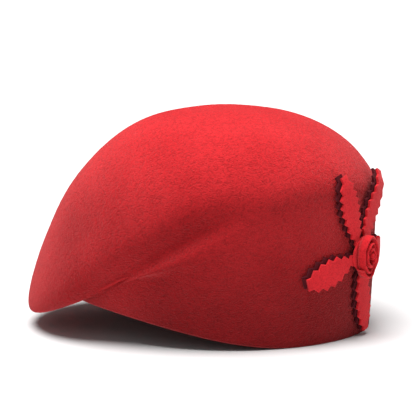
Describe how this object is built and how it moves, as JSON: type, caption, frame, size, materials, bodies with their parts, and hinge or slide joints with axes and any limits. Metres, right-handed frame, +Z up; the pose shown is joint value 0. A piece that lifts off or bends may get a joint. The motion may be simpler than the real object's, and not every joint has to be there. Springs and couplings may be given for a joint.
{
  "type": "beret",
  "caption": "Blocked wool felt beret with a tilted crown folded under into a peak, a ribbon sweatband and a pinked felt flower.",
  "frame": {"origin": "centre of the head opening, on the plane that the rim rests on", "axes": "+Z up out of the crown; +X along the length towards the flower end, so the peak points to -X"},
  "size_m": [0.2337, 0.1818, 0.1444],
  "materials": {
    "felt": "matte napped wool felt",
    "flower_felt": "matte smooth felt",
    "dark_felt": "matte dark felt",
    "ribbon": "ribbed grosgrain ribbon",
    "backing": "stiffened felt",
    "thread": "twisted sewing thread"
  },
  "bodies": {
    "root": {"felt_body": "felt", "sweatband": "ribbon", "sweatband_stitches": "thread", "bow_loop_left": "ribbon", "bow_loop_right": "ribbon", "bow_knot": "ribbon", "petal_under_1": "dark_felt", "petal_under_2": "dark_felt", "petal_under_3": "dark_felt", "petal_under_4": "dark_felt", "petal_under_5": "dark_felt", "petal_upper_1": "flower_felt", "petal_upper_2": "flower_felt", "petal_upper_3": "flower_felt", "petal_upper_4": "flower_felt", "petal_upper_5": "flower_felt", "flower_disc": "flower_felt", "rosette_outer": "flower_felt", "rosette_inner": "flower_felt", "rosette_bud": "flower_felt", "flower_backing": "backing", "flower_stitches": "thread"}
  },
  "joints": []
}
